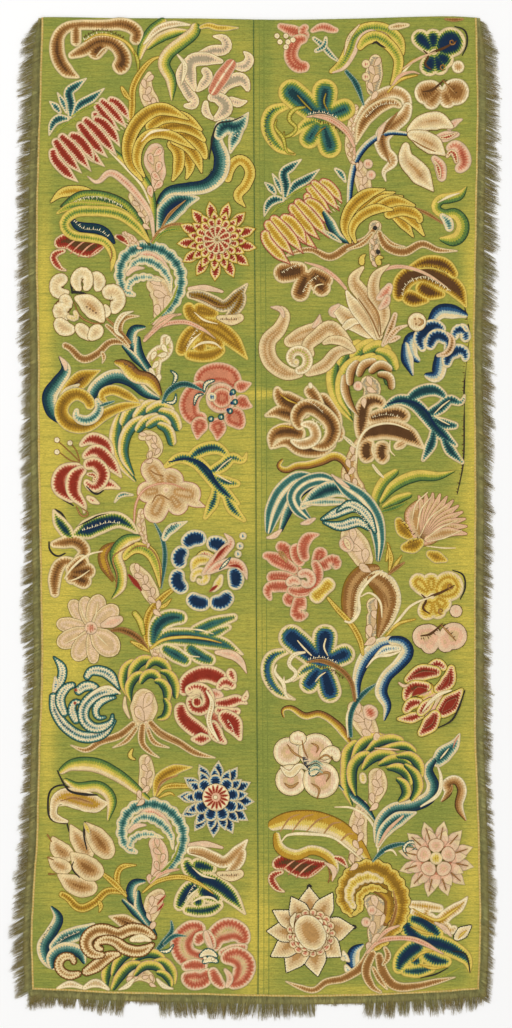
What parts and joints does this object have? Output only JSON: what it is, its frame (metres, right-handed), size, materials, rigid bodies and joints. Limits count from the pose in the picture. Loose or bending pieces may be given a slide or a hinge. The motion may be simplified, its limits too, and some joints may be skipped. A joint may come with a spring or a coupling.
{
  "type": "needlework panel",
  "caption": "Tall flat wool needlework panel of two seamed widths, covered in stitched flowers and leaves, with edging braid and a wool fringe on three sides.",
  "frame": {"origin": "under the middle of the panel's box, on the surface that it lies on", "axes": "+Y towards the plain top edge, along the panel's length; +Z out of the worked face; +X to the right seen from above"},
  "size_m": [1.1398, 2.3138, 0.0042],
  "materials": {
    "needlework": "matt wool needlework on a green ground",
    "braid": "matt pale yellow wool braid",
    "fringe": "matt olive wool locks"
  },
  "bodies": {
    "root": {"needlework_left": "needlework", "needlework_right": "needlework", "braid_left": "braid", "braid_right": "braid", "braid_bottom": "braid", "fringe_left": "fringe", "fringe_right": "fringe", "fringe_bottom": "fringe"}
  },
  "joints": []
}
